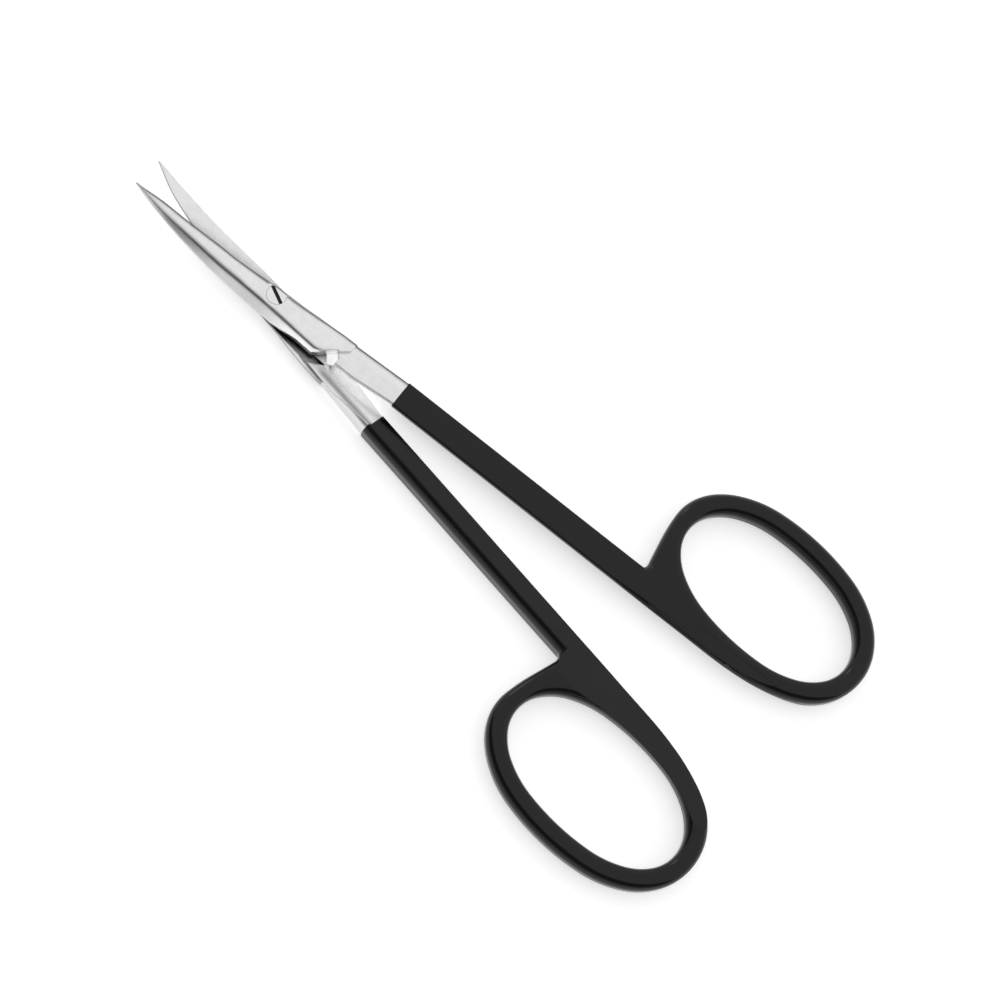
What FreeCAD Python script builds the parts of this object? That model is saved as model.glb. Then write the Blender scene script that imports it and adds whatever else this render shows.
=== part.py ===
import FreeCAD, Part
import math
import os

from FreeCAD import Placement, Rotation, Vector

# Fine surgical scissors with curved points and black coated ring handles.
# Millimetres. The pivot axis is Z through the origin, the points lie towards +X,
# and the underside of the lower half at the pivot is z = 0.

os.makedirs("parts", exist_ok=True)
doc = FreeCAD.newDocument("scissors")

SIZES = [
    ("lap_height", 1.8, "height of the plane on which the halves slide"),
    ("half_thick", 1.8, "thickness of each half at the joint"),
    ("lap_gap", 0.055, "hollow of each sliding face"),
    ("mid_offset", 0.70, "pivot to the line of symmetry"),
    ("tip_reach", 23.3, "pivot to points along X"),
    ("tip_side", 2.92, "sideways place of the upper half's point"),
    ("tip_width", 0.18, "width of the point"),
    ("tip_thick", 0.42, "thickness of the point"),
    ("back_side", 3.25, "sideways place of the blade's back"),
    ("ridge_width", 0.73, "rounding between a blade's outer face and the bevel on its back"),
    ("relief_depth", 0.8, "recess in the sliding face beside the shoulder"),
    ("back_wall", 0.35, "height of the blade's back below its bevel"),
    ("bend_start", 7.5, "pivot to the start of the upward bend"),
    ("bend_radius", 32.0, "radius of the upward bend"),
    ("shank_width", 3.9, "width of a coated shank"),
    ("shank_tilt", 5.37, "angle between a shank and X"),
    ("shank_inner", 1.35, "reach of a shank over the line where the halves nest"),
    ("shank_front", 8.0, "pivot to the front of the full shank section"),
    ("front_half", 1.75, "half thickness of a shank at the joint"),
    ("heel_extra", 0.62, "extra width of a shank's inner side near the joint"),
    ("heel_end", 14.6, "pivot to where that extra width starts to fall away"),
    ("front_outer", 2.05, "nest line to the shank's outer side at the joint"),
    ("ring_half", 1.6, "half thickness of a ring"),
    ("shank_round", 1.3, "rounding of a shank's outer side towards the other half"),
    ("edge_round", 0.3, "rounding of a shank's edges"),
    ("crest_side", 0.9, "crease on a shank from the nest line"),
    ("inner_fall", 0.4, "fall of a shank's face from the crease to the inner edge"),
    ("nest_slope", 0.37, "slope of the faces on which the shanks nest"),
    ("crest_length", 60.2, "pivot to the end of the crest along the shank"),
    ("nest_gap", 0.14, "clearance between the nested shanks"),
    ("ring_centre", 74.4, "pivot to ring centre along X"),
    ("ring_side", 17.2, "line of symmetry to ring centre"),
    ("ring_long", 13.75, "half length of the finger opening"),
    ("ring_short", 7.7, "half width of the finger opening"),
    ("wall_end", 2.75, "ring wall at its ends"),
    ("wall_side", 3.05, "ring wall at its sides"),
    ("ring_round", 1.2, "rounding of a ring's edges"),
    ("web_round", 1.0, "inside corner between shank and ring"),
    ("coat_thick", 0.12, "thickness of the coat"),
    ("coat_start", 21.0, "pivot to the front edge of the coat along the shank"),
    ("head_radius", 1.375, "pivot screw head"),
    ("head_depth", 0.8, "height of the screw head"),
    ("head_flat", 0.74, "pivot to the flat on the screw head"),
    ("shaft_radius", 0.7, "smooth part of the pivot screw"),
    ("thread_radius", 0.6, "threaded part of the pivot screw"),
    ("run_clearance", 0.03, "radial clearance round the screw"),
    ("slot_width", 0.48, "width of the screw slot"),
    ("slot_depth", 0.35, "depth of the screw slot"),
    ("slot_turn", -22.4, "direction of the screw slot from X"),
    ("end_recess", 0.0, "screw end above the underside"),
]
sheet = doc.addObject("Spreadsheet::Sheet", "Sizes")
for row, (name, value, meaning) in enumerate(SIZES, start=1):
    sheet.set("A%d" % row, name)
    sheet.set("B%d" % row, str(value))
    sheet.set("C%d" % row, meaning)
    sheet.setAlias("B%d" % row, name)
doc.recompute()


def size(name):
    return float(sheet.get(name))


# Stations of the upper half: x, cutting edge, width of its bevel, ridge, back, height and the
# height of the back below its bevel. The sliding face is z = 0 and the pivot is the origin.
PLATE = [
    (-12.3, -2.95, 0.40, -1.45, -1.15, 1.85, 1.55),
    (-10.1, -2.85, 0.55, 0.75, 1.10, 1.85, 1.50),
    (-9.3, -2.80, 0.63, 1.22, 1.75, 1.85, 1.22),
    (-8.5, -2.70, 0.67, 1.50, 2.32, 1.85, 0.94),
    (-5.9, -2.38, 0.81, 1.57, 2.39, 1.85, 0.94),
    (-3.7, -2.02, 0.82, 1.63, 2.68, 1.85, 0.62),
    (-1.8, -1.80, 0.88, 1.68, 3.00, 1.85, 0.32),
    (0.0, -1.60, 0.88, 1.72, 3.05, 1.85, 0.30),
    (4.0, -0.92, 0.74, 1.94, 3.20, 1.85, 0.35),
    (7.5, -0.28, 0.48, 2.13, 3.25, 1.68, 0.35),
]
# Stations of the blade in front of the joint: x, cutting edge, bevel width, ridge
BLADE = [
    (7.5, -0.28, 0.48, 2.13), (9.5, -0.06, 0.36, 2.14), (11.5, 0.21, 0.30, 2.13),
    (13.5, 0.52, 0.26, 2.17), (15.5, 0.85, 0.22, 2.26), (17.5, 1.17, 0.20, 2.36),
    (19.5, 1.58, 0.16, 2.55), (21.4, 2.17, 0.12, 2.73),
]
# Notch behind the joint plate, and the front of the lower layer of a shank
NOTCH = [(-9.3, 1.75), (-10.15, 0.62), (-11.0, -0.30), (-11.82, 0.52), (-11.95, 3.6), (-8.4, 3.6),
         (-8.5, 2.32)]
SHOULDER = [(-8.50, -3.50), (-8.58, -3.00), (-8.86, -2.28), (-9.86, -1.42), (-11.05, -0.40)]
# Recess in the sliding face beside the shoulder
RELIEF = [(-0.9, -1.42), (-3.4, -1.78), (-5.4, -1.86), (-7.3, -1.94), (-8.86, -2.28), (-9.86, -1.42),
          (-10.9, -0.55), (-8.5, -0.60), (-5.4, -0.60), (-3.4, -0.90), (-0.9, -1.25)]


def plane_of(body, role):
    return [item for item in body.Origin.OriginFeatures if item.Role == role][0]


def add_sketch(body, name, offset=Placement()):
    sketch = body.newObject("Sketcher::SketchObject", name)
    sketch.AttachmentSupport = [(plane_of(body, "XY_Plane"), "")]
    sketch.MapMode = "FlatFace"
    sketch.AttachmentOffset = offset
    return sketch


def draw_polygon(sketch, points):
    corners = [Vector(u, v, 0) for u, v in points]
    for start, end in zip(corners, corners[1:] + corners[:1]):
        sketch.addGeometry(Part.LineSegment(start, end), False)


def draw_circle(sketch, x, y, radius_name, extra=""):
    value = size(radius_name) + (size(extra) if extra else 0.0)
    sketch.addGeometry(Part.Circle(Vector(x, y, 0), Vector(0, 0, 1), value), False)


def add_pad(body, name, sketch, length, midplane=False, back=False):
    pad = body.newObject("PartDesign::Pad", name)
    pad.Profile = sketch
    pad.setExpression("Length", length)
    pad.Midplane = midplane
    pad.Reversed = back
    return pad


def add_pocket(body, name, sketch, length=None, midplane=False, back=False):
    pocket = body.newObject("PartDesign::Pocket", name)
    pocket.Profile = sketch
    if length is None:
        pocket.Type = "ThroughAll"
        pocket.Midplane = True
    else:
        pocket.setExpression("Length", length)
        pocket.Midplane = midplane
        pocket.Reversed = back
    return pocket


def add_loft(body, name, sections, ruled):
    loft = body.newObject("PartDesign::AdditiveLoft", name)
    loft.Profile = sections[0]
    loft.Sections = sections[1:]
    loft.Ruled = ruled
    return loft


# Blade and joint plate

def blade_station(body, name, row, rise):
    x, cutting, edge, ridge, back, height, wall = row
    start = size("bend_start")
    radius = size("bend_radius")
    lift = 0.0
    angle = 0.0
    if x > start:
        angle = math.asin((x - start) / radius)
        lift = rise * radius * (1 - math.cos(angle))
    # sketch u runs along Y and sketch v runs along the blade's own height
    lean = Rotation(Vector(0, 1, 0), -rise * math.degrees(angle))
    upright = Rotation(Vector(0, 1, 0), Vector(0, 0, 1), Vector(1, 0, 0), "ZXY")
    sketch = add_sketch(body, name, Placement(Vector(x, 0, lift), lean.multiply(upright)))
    hollow = size("lap_gap")
    # the ridge is rounded in three narrow facets, narrower towards the point
    full = size("ridge_width") * min(1.0, (back - ridge) / 0.8)
    start = ridge - 0.48 * full
    drop = (height - wall) / 1.25
    draw_polygon(sketch, [
        (cutting, hollow),
        (cutting + edge, height),
        (start, height),
        (start + 0.34 * full, height - 0.048 * full * min(1.0, drop)),
        (start + 0.68 * full, height - 0.164 * full * min(1.0, drop)),
        (start + full, height - 0.397 * full * min(1.0, drop)),
        (back, wall),
        (back, hollow),
    ])
    return sketch


def blade_rows():
    rows = []
    reach = size("tip_reach")
    first = BLADE[0][0]
    full = PLATE[-1][5]
    for x, cutting, edge, ridge in BLADE:
        share = (x - first) / (reach - first)
        back = size("back_side")
        back -= 2 * (size("back_side") - size("tip_side")) * max(0.0, share - 0.4) ** 2
        height = full * (1 - share) + size("tip_thick") * share
        rows.append((x, cutting, edge, ridge, back, height, min(size("back_wall"), 0.4 * height)))
    half_width = size("tip_width") / 2
    rows.append((reach, size("tip_side") - half_width, 0.3 * half_width, size("tip_side"),
                 size("tip_side") + half_width, size("tip_thick"), 0.4 * size("tip_thick")))
    return rows


# Shank

def shank_frame(distance):
    tilt = math.radians(size("shank_tilt"))
    along = Vector(-math.cos(tilt), -math.sin(tilt), 0)
    side = Vector(-math.sin(tilt), math.cos(tilt), 0)
    place = side * size("mid_offset") + along * distance
    return Placement(place, Rotation(side, Vector(0, 0, 1), side.cross(Vector(0, 0, 1)), "ZXY"))


def widening(distance):
    # each shank is wider on its inner side near the joint
    start = size("coat_start")
    return size("heel_extra") * max(0.0, min(1.0, (start - distance) / (start - size("heel_end"))))


def shank_section(inset, half, corner_round, outer_side, extra):
    # u across the shank, measured from the nest line and positive inwards; v is the height
    inner = size("shank_inner") + extra - size("nest_gap") / 2 - inset
    outer = outer_side + inset
    radius = size("shank_round") - inset
    edge = size("edge_round") - 0.5 * inset
    top = half - inset
    corner = Vector(inner, top - size("inner_fall"), 0)
    upper = Vector(outer + edge, top - edge, 0)
    lower = Vector(outer + radius, radius - top, 0)
    crest = Vector(-size("crest_side"), top, 0)
    slope = (corner - crest).normalize()
    turn = math.atan2(-slope.y, slope.x)
    reach = corner_round * math.tan((math.pi / 2 - turn) / 2)
    before = corner - slope * reach
    after = corner - Vector(0, reach, 0)
    centre = after - Vector(corner_round, 0, 0)
    bow = centre + (corner - centre).normalize() * corner_round
    diagonal = radius * math.sqrt(0.5)
    return [
        Part.LineSegment(Vector(outer, lower.y, 0), Vector(outer, upper.y, 0)),
        Part.Arc(Vector(outer, upper.y, 0), upper + Vector(-1, 1, 0) * (edge * math.sqrt(0.5)),
                 Vector(upper.x, top, 0)),
        Part.LineSegment(Vector(upper.x, top, 0), crest),
        Part.LineSegment(crest, before),
        Part.Arc(before, bow, after),
        Part.LineSegment(after, Vector(inner, -top, 0)),
        Part.LineSegment(Vector(inner, -top, 0), Vector(lower.x, -top, 0)),
        Part.Arc(Vector(lower.x, -top, 0), lower + Vector(-diagonal, -diagonal, 0),
                 Vector(outer, lower.y, 0)),
    ]


def shank_sketch(body, name, distance, inset, half, corner_round, outer_side):
    sketch = add_sketch(body, name, shank_frame(distance))
    for piece in shank_section(inset, half, corner_round, outer_side, widening(distance)):
        sketch.addGeometry(piece, False)
    return sketch


def cut_nest(body, name, inset):
    # the recess that takes the other half's inner edge when the points are closed
    gap = size("nest_gap") / 2
    wall = -size("shank_inner") - gap - inset
    slope = size("nest_slope")
    lift = (gap + inset) * math.hypot(1, slope)
    # along the shank it ends at a wall, and from the web on it runs out into the full thickness
    rows = []
    for number, distance in enumerate((-4.0, size("heel_end"), size("coat_start"),
                                       size("crest_length")), start=1):
        side = wall - widening(distance)
        sketch = add_sketch(body, "%s_shank_%d" % (name, number), shank_frame(distance))
        draw_polygon(sketch, [(side, slope * side + lift), (9.0, slope * 9.0 + lift),
                              (9.0, -6.0), (side, -6.0)])
        rows.append(sketch)
    groove = body.newObject("PartDesign::SubtractiveLoft", "%s_shank" % name)
    groove.Profile = rows[0]
    groove.Sections = rows[1:]
    groove.Ruled = True
    side = -9.0
    sketch = add_sketch(body, "%s_web_sketch" % name, shank_frame(size("crest_length") - 0.01))
    draw_polygon(sketch, [(side, slope * side + lift), (9.0, slope * 9.0 + lift),
                          (9.0, -6.0), (side, -6.0)])
    add_pocket(body, "%s_web" % name, sketch, "45")


# Ring and web

def oval(angle, long_half, short_half):
    power = 2.0 / 2.2
    cos_a = math.cos(angle)
    sin_a = math.sin(angle)
    return Vector(long_half * math.copysign(abs(cos_a) ** power, cos_a),
                  short_half * math.copysign(abs(sin_a) ** power, sin_a), 0)


def ring_middle():
    return Vector(-size("ring_centre"), size("mid_offset") - size("ring_side"), 0)


def oval_node(angle, long_half, short_half, centre):
    step = 1e-4
    before = oval(angle - step, long_half, short_half)
    after = oval(angle + step, long_half, short_half)
    return centre + oval(angle, long_half, short_half), (after - before).normalize()


def with_joints(nodes):
    # between two points with known directions go two arcs; this adds the point where they meet
    result = [nodes[0]]
    for (start, leaving), (end, arriving) in zip(nodes, nodes[1:]):
        gap = end - start
        total = leaving + arriving
        a = 2 * (1 - leaving.dot(arriving))
        b = 2 * gap.dot(total)
        c = -gap.dot(gap)
        if abs(leaving.cross(gap).z) > 1e-6 and a > 1e-9:
            reach = (-b + math.sqrt(b * b - 4 * a * c)) / (2 * a)
            joint = (start + end + (leaving - arriving) * reach) * 0.5
            chord = (joint - start).normalize()
            middle = chord * (2 * chord.dot(leaving)) - leaving
            result.append((joint, middle))
        result.append((end, arriving))
    return result


def draw_arcs(sketch, nodes, inset):
    # an inset moves every point to the left of its direction, so the arcs stay concentric
    moved = [(point + Vector(-way.y, way.x, 0) * inset, way) for point, way in nodes]
    for (start, leaving), (end, arriving) in zip(moved, moved[1:]):
        chord = end - start
        turn = math.atan2(leaving.cross(chord).z, leaving.dot(chord))
        if abs(turn) < 1e-5:
            sketch.addGeometry(Part.LineSegment(start, end), False)
            continue
        aside = Vector(chord.y, -chord.x, 0) * (math.tan(turn / 2) / 2)
        sketch.addGeometry(Part.Arc(start, (start + end) * 0.5 + aside, end), False)
    return moved[0][0], moved[-1][0]


def shank_lines():
    # a point on the nest line, the way towards the ring and the way towards the inner side
    frame = shank_frame(0.0)
    tilt = math.radians(size("shank_tilt"))
    return (frame.Base, Vector(-math.cos(tilt), -math.sin(tilt), 0),
            Vector(-math.sin(tilt), math.cos(tilt), 0))


def draw_ring_outline(sketch, inset):
    # anticlockwise seen from above: inner line, ring, inside corner, then back inside the shank
    base, along, side = shank_lines()
    inner = size("shank_inner") - size("nest_gap") / 2 - 0.02
    outer = size("shank_inner") - size("shank_width") + 0.05
    long_half = size("ring_long") + size("wall_end")
    short_half = size("ring_short") + size("wall_side")
    nodes = [(base + side * inner + along * (size("ring_centre") - 0.6), along)]
    for degrees in (125, 150, 180, 225, 270, 315, 342):
        nodes.append(oval_node(math.radians(degrees), long_half, short_half, ring_middle()))
    rising = Vector(-0.27, 0.963, 0).normalize()
    neck = ring_middle() + Vector(long_half - 0.95, 4.2, 0)
    nodes.append((neck, rising))
    back = along * -1
    reach = (base + side * outer - neck).dot(side) / rising.dot(side)
    corner = neck + rising * reach
    cut = size("web_round") * math.tan(math.acos(rising.dot(back)) / 2)
    nodes = with_joints(nodes)
    nodes.append((corner - rising * cut, rising))
    nodes.append((corner + back * cut, back))
    first, last = draw_arcs(sketch, nodes, inset)
    start = base + side * (inner - inset) + along * 64.0
    sketch.addGeometry(Part.LineSegment(start, first), False)
    sketch.addGeometry(Part.LineSegment(last, start), False)


def draw_opening(sketch, inset):
    nodes = [oval_node(math.radians(degrees), size("ring_long"), size("ring_short"), ring_middle())
             for degrees in range(0, 361, 45)]
    draw_arcs(sketch, with_joints(nodes), -inset)


def add_ring(body, inset):
    outline = add_sketch(body, "ring_outline")
    draw_ring_outline(outline, inset)
    ring = add_pad(body, "ring", outline, "2 * (Sizes.ring_half - %r)" % inset, midplane=True)
    opening = add_sketch(body, "finger_opening")
    draw_opening(opening, inset)
    cut = add_pocket(body, "finger_hole", opening)
    doc.recompute()
    level = size("ring_half") - inset
    edges = []
    for number, edge in enumerate(cut.Shape.Edges, start=1):
        box = edge.BoundBox
        if abs(abs(box.ZMin) - level) > 1e-4 or abs(box.ZMax - box.ZMin) > 1e-4:
            continue
        ends = [vertex.Point for vertex in edge.Vertexes]
        if len(ends) == 2 and edge.Curve.TypeId == "Part::GeomLine":
            if min(end.x for end in ends) > -66.0 and max(end.x for end in ends) > -60.0 \
                    and (ends[0] - ends[1]).Length > 4.0:
                continue
        edges.append("Edge%d" % number)
    rounding = body.newObject("PartDesign::Fillet", "ring_edges")
    rounding.Base = (cut, edges)
    rounding.setExpression("Radius", "Sizes.ring_round - %r" % inset)
    doc.recompute()
    # the upper face falls towards the inner side, on a straight crease
    inner = size("shank_inner") - size("nest_gap") / 2
    fall = size("inner_fall") / (inner + size("crest_side"))
    crease = -size("crest_side")
    top = size("ring_half") - inset - 0.02
    strip = add_sketch(body, "inner_strip_sketch", shank_frame(40.0))
    draw_polygon(strip, [(crease, top), (9.0, top - fall * (9.0 - crease)), (9.0, 6.0), (crease, 6.0)])
    add_pocket(body, "inner_strip", strip, "70")
    return ring


def add_shank(body, inset, front):
    # the shank grows from the joint to its full width where the coat starts
    full = size("shank_inner") - size("shank_width")
    half = size("ring_half")
    thick = size("front_half") + (half - size("front_half")) * front / 58.0
    start = full
    if front < size("coat_start"):
        start = -size("front_outer")
    rows = [shank_sketch(body, "shank_front", front, inset, thick, size("edge_round"), start)]
    if front < size("coat_start"):
        for distance, side in ((size("heel_end"), 0.5 * (full - size("front_outer"))),
                               (size("coat_start"), full)):
            thick = size("front_half") + (half - size("front_half")) * distance / 58.0
            rows.append(shank_sketch(body, "shank_%d" % round(distance), distance, inset, thick,
                                     size("edge_round"), side))
    rows.append(shank_sketch(body, "shank_back", 58.0, inset, half, size("edge_round"), full))
    end = shank_sketch(body, "shank_end", 70.0, inset, half, size("ring_round"), full)
    add_loft(body, "shank", rows, True)
    add_loft(body, "shank_run_out", [rows[-1], end], True)


def make_half(label, rise, pivot_y, upper):
    body = doc.addObject("PartDesign::Body", label)
    body.Label = label
    inset = size("coat_thick")
    add_ring(body, inset)
    add_shank(body, inset, size("shank_front"))
    cut_nest(body, "nest", inset)
    # the lower layer of the shank starts at the shoulder
    shoulder = add_sketch(body, "shoulder_sketch")
    draw_polygon(shoulder, [(SHOULDER[0][0], -6.0)] + SHOULDER + [(-11.4, 4.0), (4.0, 4.0),
                                                                  (4.0, -6.0)])
    shoulder.setExpression("AttachmentOffset.Base.z", "Sizes.lap_gap")
    add_pocket(body, "shoulder", shoulder, "6")
    rows = PLATE
    add_loft(body, "plate", [blade_station(body, "plate_%d" % k, row, rise)
                             for k, row in enumerate(rows, start=1)], True)
    add_loft(body, "blade", [blade_station(body, "blade_%d" % k, row, rise)
                             for k, row in enumerate(blade_rows(), start=1)], False)
    # the outer face is ground flat over the joint
    facing = add_sketch(body, "facing_sketch")
    draw_polygon(facing, [(-13.5, -4.0), (5.5, -4.0), (5.5, 4.5), (-13.5, 4.5)])
    facing.setExpression("AttachmentOffset.Base.z", "Sizes.half_thick")
    add_pocket(body, "facing", facing, "2", back=True)
    relief = add_sketch(body, "relief_sketch")
    draw_polygon(relief, RELIEF)
    relief.setExpression("AttachmentOffset.Base.z", "-0.5")
    add_pocket(body, "relief", relief, "0.5 + Sizes.relief_depth", back=True)
    notch = add_sketch(body, "notch_sketch")
    draw_polygon(notch, NOTCH)
    add_pocket(body, "notch", notch)
    hole = add_sketch(body, "pivot_hole_sketch")
    if upper:
        draw_circle(hole, 0, pivot_y, "shaft_radius", "run_clearance")
    else:
        draw_circle(hole, 0, pivot_y, "thread_radius")
    add_pocket(body, "pivot_hole", hole)
    if upper:
        seat = add_sketch(body, "head_seat_sketch")
        draw_circle(seat, 0, pivot_y, "head_radius", "run_clearance")
        seat.setExpression("AttachmentOffset.Base.z",
                           "Sizes.half_thick - Sizes.head_depth - Sizes.run_clearance")
        add_pocket(body, "head_seat", seat, "3", back=True)
    doc.recompute()
    return body


def make_coat(label, steel):
    body = doc.addObject("PartDesign::Body", label + "_outside")
    add_ring(body, 0.0)
    add_shank(body, 0.0, size("coat_start"))
    cut_nest(body, "nest", 0.0)
    doc.recompute()
    coat = doc.addObject("Part::Feature", label)
    coat.Shape = body.Shape.Solids[0].cut(steel.Shape.Solids[0])
    coat.Label = label
    doc.recompute()
    return coat


def make_screw(label):
    body = doc.addObject("PartDesign::Body", label)
    body.Label = label
    thread = add_sketch(body, "thread_sketch")
    draw_circle(thread, 0, 0, "thread_radius")
    thread.setExpression("AttachmentOffset.Base.z", "Sizes.end_recess")
    add_pad(body, "thread", thread, "Sizes.lap_height - Sizes.lap_gap - Sizes.end_recess")
    shaft = add_sketch(body, "shaft_sketch")
    draw_circle(shaft, 0, 0, "shaft_radius")
    shaft.setExpression("AttachmentOffset.Base.z", "Sizes.lap_height - Sizes.lap_gap")
    add_pad(body, "shaft", shaft, "Sizes.half_thick + Sizes.lap_gap - Sizes.head_depth")
    head = add_sketch(body, "head_sketch")
    draw_circle(head, 0, 0, "head_radius")
    head.setExpression("AttachmentOffset.Base.z",
                       "Sizes.lap_height + Sizes.half_thick - Sizes.head_depth")
    add_pad(body, "head", head, "Sizes.head_depth")
    flat = add_sketch(body, "flat_sketch")
    edge = -size("head_flat")
    draw_polygon(flat, [(-3, edge - 0.3), (3, edge + 0.3), (3, -5), (-3, -5)])
    add_pocket(body, "flat", flat)
    slot = add_sketch(body, "slot_sketch", Placement(
        Vector(0, 0, size("lap_height") + size("half_thick")),
        Rotation(Vector(0, 0, 1), size("slot_turn"))))
    reach = size("head_radius") + 0.5
    half = size("slot_width") / 2
    draw_polygon(slot, [(-reach, -half), (reach, -half), (reach, half), (-reach, half)])
    add_pocket(body, "slot", slot, "Sizes.slot_depth")
    doc.recompute()
    return body


screw = make_screw("pivot_screw")
near_half = make_half("near_blade_half", 1, 0.0, True)
far_half = make_half("far_blade_half", -1, 2 * size("mid_offset"), False)
near_coat = make_coat("near_handle_coat", near_half)
far_coat = make_coat("far_handle_coat", far_half)

# The lower half is the same forging turned over about the line of symmetry.
turned = Rotation(Vector(1, 0, 0), 180)
near_half.Placement = Placement(Vector(0, 0, size("lap_height")), Rotation())
near_coat.Placement = near_half.Placement
far_half.Placement = Placement(Vector(0, 2 * size("mid_offset"), size("lap_height")), turned)
far_coat.Placement = far_half.Placement
doc.recompute()

for item in doc.Objects:
    if "Invalid" in item.State or "Error" in item.State:
        raise RuntimeError("%s is not valid: %s" % (item.Name, item.State))

for node in (near_half, far_half, near_coat, far_coat, screw):
    shape = node.Shape
    if not shape.isValid() or len(shape.Solids) != 1:
        raise RuntimeError("%s is not one valid solid" % node.Label)
    shape.exportStep("parts/%s.step" % node.Label)
    print(node.Label, round(shape.Volume, 2), shape.BoundBox)
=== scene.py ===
import math

import bpy
from mathutils import Matrix, Vector


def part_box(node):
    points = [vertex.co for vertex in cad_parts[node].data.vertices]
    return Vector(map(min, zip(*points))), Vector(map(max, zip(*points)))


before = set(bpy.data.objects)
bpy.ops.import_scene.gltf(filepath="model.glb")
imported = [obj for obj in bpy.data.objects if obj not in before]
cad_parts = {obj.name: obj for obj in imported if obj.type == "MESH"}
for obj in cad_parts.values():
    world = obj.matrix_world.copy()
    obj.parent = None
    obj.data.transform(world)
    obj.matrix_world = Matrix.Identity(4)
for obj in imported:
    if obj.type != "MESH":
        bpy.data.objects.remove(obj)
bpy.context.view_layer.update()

bl_info = {
    "name": "Fine Scissors",
    "version": (1, 0, 0),
    "blender": (4, 5, 0),
    "location": "3D View > Sidebar > Scissors",
    "description": "Finishes, stage and camera for a pair of fine scissors with coated ring handles",
    "category": "Object",
}

MM = 0.001
# Camera place and directions in the part's own frame, millimetres
CAMERA_PLACE = (-68.8, 124.2, 375.1)
CAMERA_RIGHT = (-0.7261, -0.6668, 0.1677)
CAMERA_UP = (0.6837, -0.6743, 0.2791)
CAMERA_LENS = 108.0

# Greys that the steel takes away from its plain faces: painted shade and painted dark reflections on
# the edges, ridge, sides, gaps and screw slot, and the coat's own black on the bare nest faces
CUTTING_EDGE_PAINTED_SHADE = 0.07
RIDGE_PAINTED_REFLECTION = 0.24
BLADE_BACK_PAINTED_SHADE = 0.66
SHANK_SIDE_PAINTED_SHADE = 0.74
CREST_PAINTED_REFLECTION = 0.22
GAP_PAINTED_SHADE = 0.01
NEST_FACE_GREY = 0.03
SLOT_PAINTED_SHADE = 0.03

# Where those greys begin and end, in the pieces' own frame
SEAT_RIM = (1.65 * MM, 1.95 * MM)
OUTER_EDGE = (-0.62 * MM, -0.52 * MM)
RIDGE_REAR = (-10.4 * MM, -9.2 * MM)
BLADE_BACK_REAR = (-4.0 * MM, 1.0 * MM)
CREST_TURN = math.radians(4.3)
CREST_INNER = (1.55 * MM, 2.10 * MM)
CREST_OUTER = (2.35 * MM, 2.85 * MM)
CREST_FRONT = (-11.6 * MM, -10.2 * MM)
SHANK_FRONT = (-12.4 * MM, -10.9 * MM)
HANDLE_FRONT = (-24.0 * MM, -23.0 * MM)

# Stage
FLOOR_PAPER = 0.85
FLOOR_GLOW = 0.60
FLOOR_DROP = 0.02 * MM
BAND_MIDDLE = math.radians(41.0)
BAND_OUTER_HALF = math.radians(31.0)
BAND_INNER_HALF = math.radians(18.0)
BAND_LEVEL = 0.20
LAMP_SIZE = (0.10, 0.16)
LAMP_PLACE = (0.55, -0.30, 0.35)
LAMP_AIM = (-0.03, 0.0, 0.0)


def grey(level):
    return (level, level, level, 1.0)


# Node helpers

def new_material(name):
    material = bpy.data.materials.new(name)
    material.use_nodes = True
    tree = material.node_tree
    tree.nodes.clear()
    output = tree.nodes.new("ShaderNodeOutputMaterial")
    shader = tree.nodes.new("ShaderNodeBsdfPrincipled")
    tree.links.new(shader.outputs["BSDF"], output.inputs["Surface"])
    return material, tree, shader


def object_point(tree, scale=(1.0, 1.0, 1.0), turn=0.0):
    where = tree.nodes.new("ShaderNodeTexCoord")
    mapping = tree.nodes.new("ShaderNodeMapping")
    mapping.inputs["Scale"].default_value = scale
    mapping.inputs["Rotation"].default_value = (0.0, 0.0, turn)
    tree.links.new(where.outputs["Object"], mapping.inputs["Vector"])
    return mapping.outputs["Vector"]


def add_noise(tree, vector, scale, detail=3.0, rough=0.5):
    noise = tree.nodes.new("ShaderNodeTexNoise")
    noise.inputs["Scale"].default_value = scale
    noise.inputs["Detail"].default_value = detail
    noise.inputs["Roughness"].default_value = rough
    tree.links.new(vector, noise.inputs["Vector"])
    return noise.outputs["Fac"]


def add_range(tree, value, low, high, from_low=0.3, from_high=0.7):
    node = tree.nodes.new("ShaderNodeMapRange")
    node.inputs["From Min"].default_value = from_low
    node.inputs["From Max"].default_value = from_high
    node.inputs["To Min"].default_value = low
    node.inputs["To Max"].default_value = high
    tree.links.new(value, node.inputs["Value"])
    return node.outputs["Result"]


def add_mix(tree, factor, first, second):
    node = tree.nodes.new("ShaderNodeMix")
    node.data_type = "RGBA"
    tree.links.new(factor, node.inputs["Factor"])
    for socket, value in ((node.inputs[6], first), (node.inputs[7], second)):
        if isinstance(value, bpy.types.NodeSocket):
            tree.links.new(value, socket)
        else:
            socket.default_value = value
    return node.outputs[2]


def add_math(tree, operation, first, second):
    node = tree.nodes.new("ShaderNodeMath")
    node.operation = operation
    tree.links.new(first, node.inputs[0])
    tree.links.new(second, node.inputs[1])
    return node.outputs[0]


def add_product(tree, first, second):
    return add_math(tree, "MULTIPLY", first, second)


def add_larger(tree, first, second):
    return add_math(tree, "MAXIMUM", first, second)


def add_bump(tree, height, strength, distance, normal):
    node = tree.nodes.new("ShaderNodeBump")
    node.inputs["Strength"].default_value = strength
    node.inputs["Distance"].default_value = distance
    tree.links.new(height, node.inputs["Height"])
    tree.links.new(normal, node.inputs["Normal"])
    return node.outputs["Normal"]


def add_soft_edge(tree, radius):
    node = tree.nodes.new("ShaderNodeBevel")
    node.samples = 6
    node.inputs["Radius"].default_value = radius
    return node.outputs["Normal"]


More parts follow.
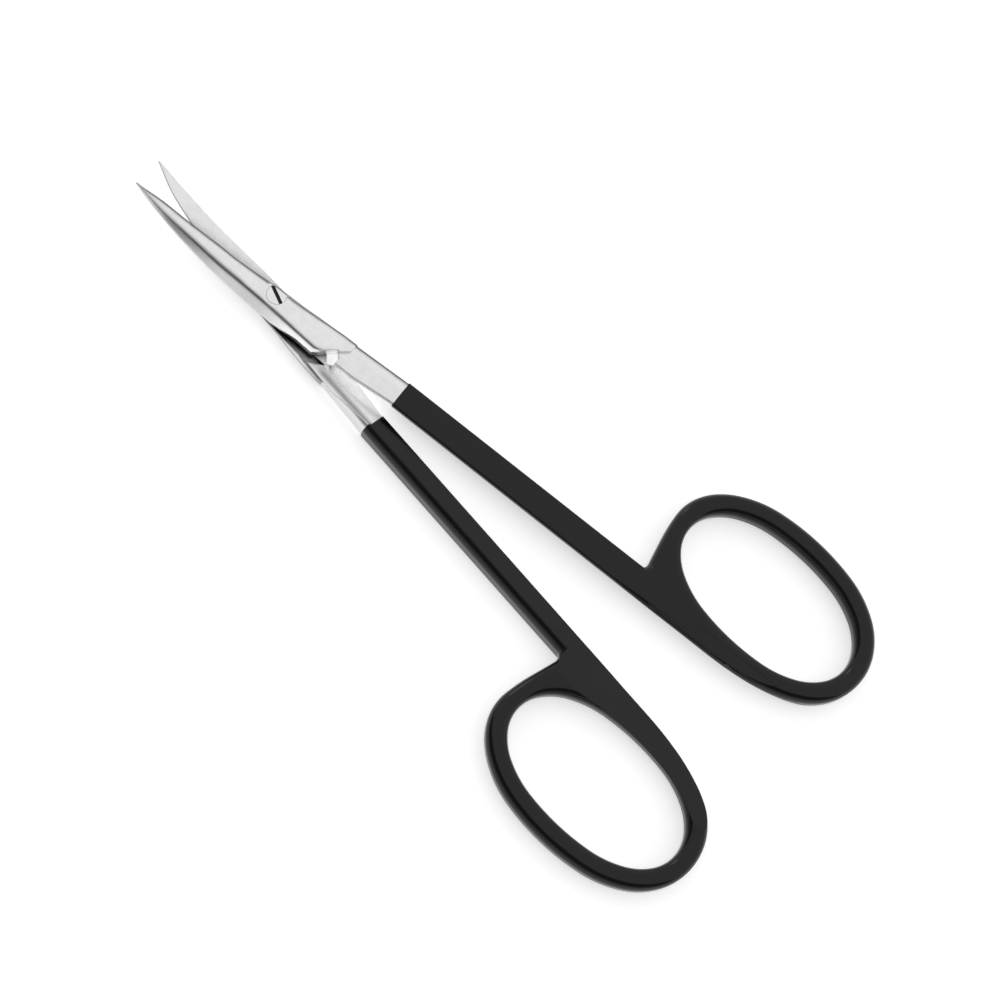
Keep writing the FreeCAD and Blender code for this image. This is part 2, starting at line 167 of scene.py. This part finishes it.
def add_hollow(tree, reach, low, high):
    # one in the open, zero deep in narrow gaps and corners
    node = tree.nodes.new("ShaderNodeAmbientOcclusion")
    node.samples = 8
    node.inputs["Distance"].default_value = reach
    return add_range(tree, node.outputs["AO"], 0.0, 1.0, low, high)


def add_facing(tree, direction, radius):
    # how far the surface or the edge beside it faces the given direction of the piece
    turn = tree.nodes.new("ShaderNodeVectorTransform")
    turn.vector_type = "NORMAL"
    turn.convert_from = "WORLD"
    turn.convert_to = "OBJECT"
    tree.links.new(add_soft_edge(tree, radius), turn.inputs["Vector"])
    dot = tree.nodes.new("ShaderNodeVectorMath")
    dot.operation = "DOT_PRODUCT"
    dot.inputs[1].default_value = direction
    tree.links.new(turn.outputs["Vector"], dot.inputs[0])
    return dot.outputs["Value"]


def add_place(tree):
    where = tree.nodes.new("ShaderNodeTexCoord")
    split = tree.nodes.new("ShaderNodeSeparateXYZ")
    tree.links.new(where.outputs["Object"], split.inputs["Vector"])
    return split


def add_clear_of_pivot(tree):
    # zero on the rim of the screw's seat, one elsewhere and along the outer edge
    split = add_place(tree)
    flat = tree.nodes.new("ShaderNodeCombineXYZ")
    tree.links.new(split.outputs["X"], flat.inputs["X"])
    tree.links.new(split.outputs["Y"], flat.inputs["Y"])
    length = tree.nodes.new("ShaderNodeVectorMath")
    length.operation = "LENGTH"
    tree.links.new(flat.outputs["Vector"], length.inputs[0])
    outside = add_range(tree, length.outputs["Value"], 0.0, 1.0, *SEAT_RIM)
    edge = add_range(tree, split.outputs["Y"], 1.0, 0.0, *OUTER_EDGE)
    return add_larger(tree, outside, edge)


def add_painted_crest_band(tree):
    # where the crest's painted dark reflection lies: a soft band along the lower half's shank
    split = add_place(tree)
    across = tree.nodes.new("ShaderNodeMath")
    across.operation = "MULTIPLY_ADD"
    tree.links.new(split.outputs["X"], across.inputs[0])
    across.inputs[1].default_value = math.tan(CREST_TURN)
    tree.links.new(split.outputs["Y"], across.inputs[2])
    inner = add_range(tree, across.outputs[0], 0.0, 0.75, *CREST_INNER)
    outer = add_range(tree, across.outputs[0], 1.0, 0.0, *CREST_OUTER)
    behind = add_range(tree, split.outputs["X"], 1.0, 0.0, *CREST_FRONT)
    return add_product(tree, add_product(tree, inner, outer), behind)


def add_upper_painted_shade(tree, tint):
    # painted shade and painted dark reflections: the ground bevel on the cutting edge and the
    # rounded ridge between the ground faces are painted dark, and the ground back of the blade is
    # painted greyer than its outer face
    clear = add_clear_of_pivot(tree)
    share = add_range(tree, add_facing(tree, (0.0, -1.0, 0.0), 0.7 * MM), 0.0, 1.0, 0.05, 0.22)
    # painted shade on the cutting edge's bevel
    tint = add_mix(tree, add_product(tree, share, clear), tint, grey(CUTTING_EDGE_PAINTED_SHADE))
    along = add_place(tree).outputs["X"]
    facing = add_facing(tree, (0.0, 1.0, 0.0), 1.0 * MM)
    rise = add_range(tree, facing, 0.0, 0.72, 0.14, 0.34)
    rise = add_product(tree, rise, add_range(tree, along, 0.0, 1.0, *RIDGE_REAR))
    # painted dark reflection along the ridge
    ridge = add_mix(tree, add_product(tree, rise, clear), tint, grey(RIDGE_PAINTED_REFLECTION))
    blade = add_range(tree, along, 0.0, 1.0, *BLADE_BACK_REAR)
    # painted shade on the ground back of the blade
    back = add_mix(tree, blade, tint, grey(BLADE_BACK_PAINTED_SHADE))
    tint = add_mix(tree, add_range(tree, facing, 0.0, 1.0, 0.62, 0.80), ridge, back)
    # painted shade in narrow gaps
    gap_shade = add_hollow(tree, 1.4 * MM, 0.10, 0.58)
    return add_mix(tree, gap_shade, grey(GAP_PAINTED_SHADE), tint)


def add_lower_painted_shade(tree, tint):
    # painted shade: the outer side of the shank is painted greyer than its top, and the crest
    # between them takes a painted dark reflection
    side = add_range(tree, add_facing(tree, (0.0, 1.0, 0.0), 0.3 * MM), 0.0, 1.0, 0.30, 0.60)
    tint = add_mix(tree, side, tint, grey(SHANK_SIDE_PAINTED_SHADE))
    tint = add_mix(tree, add_painted_crest_band(tree), tint, grey(CREST_PAINTED_REFLECTION))
    # painted shade in the recess at the joint, but not on the shank behind it
    shank = add_range(tree, add_place(tree).outputs["X"], 1.0, 0.0, *SHANK_FRONT)
    gap_shade = add_larger(tree, add_hollow(tree, 2.2 * MM, 0.25, 0.90), shank)
    return add_mix(tree, gap_shade, grey(GAP_PAINTED_SHADE), tint)


def satin_steel(name, colour, turn, roughness, add_painted_shade):
    # drawn satin steel: fine grinding lines along the piece and faint cloudiness
    material, tree, shader = new_material(name)
    shader.inputs["Metallic"].default_value = 1.0
    lines = add_noise(tree, object_point(tree, (40.0, 1400.0, 1400.0), turn), 5.0, 4.0, 0.6)
    cloud = add_noise(tree, object_point(tree), 900.0, 3.0)
    low = [channel * 0.95 for channel in colour] + [1.0]
    high = [min(1.0, channel * 1.02) for channel in colour] + [1.0]
    tint = add_mix(tree, add_range(tree, cloud, 0.0, 1.0), low, high)
    # painted shade and painted dark reflections of the half
    tint = add_painted_shade(tree, tint)
    # the nest faces of the handles are black like the coat beside them
    bare = add_range(tree, add_place(tree).outputs["X"], 0.0, 1.0, *HANDLE_FRONT)
    tint = add_mix(tree, bare, grey(NEST_FACE_GREY), tint)
    tree.links.new(tint, shader.inputs["Base Color"])
    rough = add_range(tree, lines, roughness - 0.04, roughness + 0.05)
    tree.links.new(rough, shader.inputs["Roughness"])
    normal = add_bump(tree, lines, 0.06, 0.01 * MM, add_soft_edge(tree, 0.28 * MM))
    tree.links.new(normal, shader.inputs["Normal"])
    return material


def gloss_coat(name, colour, roughness):
    # dipped black coat: deep gloss, a faint waviness and a few duller patches
    material, tree, shader = new_material(name)
    shader.inputs["IOR"].default_value = 1.41
    wave = add_noise(tree, object_point(tree), 260.0, 2.0)
    patch = add_noise(tree, object_point(tree), 90.0, 4.0)
    dark = [channel * 0.7 for channel in colour] + [1.0]
    light = [channel * 1.4 for channel in colour] + [1.0]
    tint = add_mix(tree, add_range(tree, patch, 0.0, 1.0), dark, light)
    tree.links.new(tint, shader.inputs["Base Color"])
    rough = add_range(tree, patch, roughness - 0.03, roughness + 0.05)
    tree.links.new(rough, shader.inputs["Roughness"])
    normal = add_bump(tree, wave, 0.10, 0.02 * MM, add_soft_edge(tree, 0.12 * MM))
    tree.links.new(normal, shader.inputs["Normal"])
    return material


def screw_steel(name, colour, roughness, slot_level):
    # turned satin steel; painted shade darkens the slot below the given level
    material, tree, shader = new_material(name)
    shader.inputs["Metallic"].default_value = 1.0
    rings = add_noise(tree, object_point(tree, (1.0, 1.0, 0.1)), 5200.0, 3.0)
    height = add_place(tree).outputs["Z"]
    unshaded = add_range(tree, height, 0.0, 1.0, slot_level - 0.2 * MM, slot_level)
    tint = add_mix(tree, unshaded, grey(SLOT_PAINTED_SHADE), list(colour) + [1.0])
    tree.links.new(tint, shader.inputs["Base Color"])
    rough = add_range(tree, rings, roughness - 0.04, roughness + 0.06)
    tree.links.new(rough, shader.inputs["Roughness"])
    normal = add_bump(tree, rings, 0.1, 0.01 * MM, add_soft_edge(tree, 0.06 * MM))
    tree.links.new(normal, shader.inputs["Normal"])
    return material


def finish_node(node, material):
    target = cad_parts[node]
    target.data.materials.clear()
    target.data.materials.append(material)


class ScissorSteelSettings(bpy.types.PropertyGroup):
    colour: bpy.props.FloatVectorProperty(
        name="Steel", description="Colour of the bare steel", subtype="COLOR",
        default=(0.96, 0.96, 0.96), min=0.0, max=1.0)
    roughness: bpy.props.FloatProperty(
        name="Satin", description="Roughness of the bare steel", default=0.27, min=0.1, max=0.8,
        subtype="FACTOR")
    screw_colour: bpy.props.FloatVectorProperty(
        name="Screw", description="Colour of the pivot screw", subtype="COLOR",
        default=(0.95, 0.95, 0.95), min=0.0, max=1.0)


class ScissorCoatSettings(bpy.types.PropertyGroup):
    colour: bpy.props.FloatVectorProperty(
        name="Coat", description="Colour of the handle coat", subtype="COLOR",
        default=(0.004, 0.004, 0.0042), min=0.0, max=1.0)
    roughness: bpy.props.FloatProperty(
        name="Gloss", description="Roughness of the handle coat", default=0.14, min=0.02, max=0.8,
        subtype="FACTOR")


class ScissorStageSettings(bpy.types.PropertyGroup):
    floor_size: bpy.props.FloatProperty(
        name="Floor", description="Side of the floor", default=3.0, min=0.5, unit="LENGTH",
        subtype="DISTANCE")
    sky_level: bpy.props.FloatProperty(
        name="Light", description="Level of the soft studio light", default=1.0, min=0.1, max=2.0)
    lamp_power: bpy.props.FloatProperty(
        name="Lamp", description="Power of the soft lamp", default=0.12, min=0.0, unit="POWER")


class SCISSORS_OT_steel(bpy.types.Operator):
    """Gives both halves their satin steel, with painted shade and painted dark reflections"""
    bl_idname = "scissors.steel"
    bl_label = "Steel Halves"

    def execute(self, context):
        steel = context.scene.scissor_steel
        grain = math.radians(1.62)
        for node, turn, add_painted_shade in (("near_blade_half", -grain, add_upper_painted_shade),
                                      ("far_blade_half", grain, add_lower_painted_shade)):
            finish_node(node, satin_steel(node + "_satin", steel.colour, turn, steel.roughness,
                                          add_painted_shade))
        return {"FINISHED"}


class SCISSORS_OT_coat(bpy.types.Operator):
    """Gives both handles their black coat"""
    bl_idname = "scissors.coat"
    bl_label = "Handle Coats"

    def execute(self, context):
        coat = context.scene.scissor_coat
        material = gloss_coat("black_coat", coat.colour, coat.roughness)
        for node in ("near_handle_coat", "far_handle_coat"):
            finish_node(node, material)
        return {"FINISHED"}


class SCISSORS_OT_screw(bpy.types.Operator):
    """Gives the pivot screw its steel and painted shade in the slot"""
    bl_idname = "scissors.screw"
    bl_label = "Pivot Screw"

    def execute(self, context):
        steel = context.scene.scissor_steel
        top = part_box("pivot_screw")[1].z
        finish_node("pivot_screw", screw_steel("screw_satin", steel.screw_colour, 0.25,
                                               top - 0.05 * MM))
        return {"FINISHED"}


class SCISSORS_OT_stage(bpy.types.Operator):
    """Makes the white floor, the studio light and the camera"""
    bl_idname = "scissors.stage"
    bl_label = "Stage"

    def execute(self, context):
        stage = context.scene.scissor_stage
        context.scene.view_settings.view_transform = "Standard"
        make_floor(stage)
        make_sky(context.scene, stage)
        make_lamp(context.scene, stage)
        make_camera(context.scene)
        return {"FINISHED"}


def white_for_the_eye(tree):
    # one for rays from the camera and for mirror and glass rays
    path = tree.nodes.new("ShaderNodeLightPath")
    total = path.outputs["Is Camera Ray"]
    for name in ("Is Glossy Ray", "Is Transmission Ray"):
        total = add_larger(tree, total, path.outputs[name])
    return total


def make_floor(stage):
    material = bpy.data.materials.new("white_floor")
    material.use_nodes = True
    tree = material.node_tree
    tree.nodes.clear()
    output = tree.nodes.new("ShaderNodeOutputMaterial")
    paper = tree.nodes.new("ShaderNodeBsdfDiffuse")
    paper.inputs["Color"].default_value = grey(FLOOR_PAPER)
    glow = tree.nodes.new("ShaderNodeEmission")
    glow.inputs["Color"].default_value = grey(1.0)
    lift = tree.nodes.new("ShaderNodeMath")
    lift.operation = "MULTIPLY"
    lift.inputs[1].default_value = FLOOR_GLOW
    tree.links.new(white_for_the_eye(tree), lift.inputs[0])
    tree.links.new(lift.outputs[0], glow.inputs["Strength"])
    both = tree.nodes.new("ShaderNodeAddShader")
    tree.links.new(paper.outputs[0], both.inputs[0])
    tree.links.new(glow.outputs[0], both.inputs[1])
    tree.links.new(both.outputs[0], output.inputs["Surface"])
    bpy.ops.mesh.primitive_plane_add(size=stage.floor_size, location=(0.0, 0.0, -FLOOR_DROP))
    floor = bpy.context.object
    floor.name = "floor"
    floor.data.materials.append(material)


def make_sky(scene, stage):
    # an even white studio with a dark band behind the camera from side to side
    world = bpy.data.worlds.new("studio")
    scene.world = world
    world.use_nodes = True
    tree = world.node_tree
    tree.nodes.clear()
    output = tree.nodes.new("ShaderNodeOutputWorld")
    back = tree.nodes.new("ShaderNodeBackground")
    tree.links.new(back.outputs[0], output.inputs["Surface"])
    where = tree.nodes.new("ShaderNodeTexCoord")
    flat = tree.nodes.new("ShaderNodeVectorMath")
    flat.operation = "MULTIPLY"
    flat.inputs[1].default_value = (0.0, 1.0, 1.0)
    tree.links.new(where.outputs["Generated"], flat.inputs[0])
    unit = tree.nodes.new("ShaderNodeVectorMath")
    unit.operation = "NORMALIZE"
    tree.links.new(flat.outputs["Vector"], unit.inputs[0])
    dot = tree.nodes.new("ShaderNodeVectorMath")
    dot.operation = "DOT_PRODUCT"
    dot.inputs[1].default_value = (0.0, math.sin(BAND_MIDDLE), math.cos(BAND_MIDDLE))
    tree.links.new(unit.outputs["Vector"], dot.inputs[0])
    band = tree.nodes.new("ShaderNodeMapRange")
    band.interpolation_type = "SMOOTHSTEP"
    band.inputs["From Min"].default_value = math.cos(BAND_OUTER_HALF)
    band.inputs["From Max"].default_value = math.cos(BAND_INNER_HALF)
    band.inputs["To Min"].default_value = stage.sky_level
    band.inputs["To Max"].default_value = BAND_LEVEL
    tree.links.new(dot.outputs["Value"], band.inputs["Value"])
    path = tree.nodes.new("ShaderNodeLightPath")
    level = tree.nodes.new("ShaderNodeMix")
    level.data_type = "FLOAT"
    tree.links.new(path.outputs["Is Camera Ray"], level.inputs["Factor"])
    tree.links.new(band.outputs["Result"], level.inputs[2])
    level.inputs[3].default_value = 1.0
    tree.links.new(level.outputs[0], back.inputs["Strength"])


def make_lamp(scene, stage):
    data = bpy.data.lights.new("soft_lamp", "AREA")
    data.shape = "RECTANGLE"
    data.size, data.size_y = LAMP_SIZE
    data.energy = stage.lamp_power
    lamp = bpy.data.objects.new("soft_lamp", data)
    scene.collection.objects.link(lamp)
    place = Vector(LAMP_PLACE)
    lamp.location = place
    lamp.rotation_euler = (Vector(LAMP_AIM) - place).to_track_quat("-Z", "Y").to_euler()


def make_camera(scene):
    data = bpy.data.cameras.new("camera")
    data.lens = CAMERA_LENS
    data.sensor_width = 36.0
    data.clip_start = 0.01
    data.clip_end = 20.0
    camera = bpy.data.objects.new("camera", data)
    scene.collection.objects.link(camera)
    right = Vector(CAMERA_RIGHT).normalized()
    up = (Vector(CAMERA_UP) - right * Vector(CAMERA_UP).dot(right)).normalized()
    back = right.cross(up)
    turn = Matrix((right, up, back)).transposed()
    camera.matrix_world = Matrix.Translation(Vector(CAMERA_PLACE) * MM) @ turn.to_4x4()
    scene.camera = camera


class SCISSORS_PT_panel(bpy.types.Panel):
    """Lists the finishes and the stage"""
    bl_idname = "SCISSORS_PT_panel"
    bl_label = "Fine Scissors"
    bl_space_type = "VIEW_3D"
    bl_region_type = "UI"
    bl_category = "Scissors"

    def draw(self, context):
        layout = self.layout
        scene = context.scene
        for settings, names in ((scene.scissor_steel, ("colour", "roughness", "screw_colour")),
                                (scene.scissor_coat, ("colour", "roughness")),
                                (scene.scissor_stage, ("floor_size", "sky_level", "lamp_power"))):
            for name in names:
                layout.prop(settings, name)
        for operator in OPERATORS:
            layout.operator(operator.bl_idname)


OPERATORS = (SCISSORS_OT_steel, SCISSORS_OT_coat, SCISSORS_OT_screw, SCISSORS_OT_stage)
CLASSES = (ScissorSteelSettings, ScissorCoatSettings, ScissorStageSettings) + OPERATORS + (
    SCISSORS_PT_panel,)


def register():
    for item in CLASSES:
        bpy.utils.register_class(item)
    bpy.types.Scene.scissor_steel = bpy.props.PointerProperty(type=ScissorSteelSettings)
    bpy.types.Scene.scissor_coat = bpy.props.PointerProperty(type=ScissorCoatSettings)
    bpy.types.Scene.scissor_stage = bpy.props.PointerProperty(type=ScissorStageSettings)


def unregister():
    for name in ("scissor_steel", "scissor_coat", "scissor_stage"):
        delattr(bpy.types.Scene, name)
    for item in reversed(CLASSES):
        bpy.utils.unregister_class(item)


def main():
    register()
    for step in (bpy.ops.scissors.steel, bpy.ops.scissors.coat, bpy.ops.scissors.screw,
                 bpy.ops.scissors.stage):
        step()


if __name__ == "__main__":
    main()
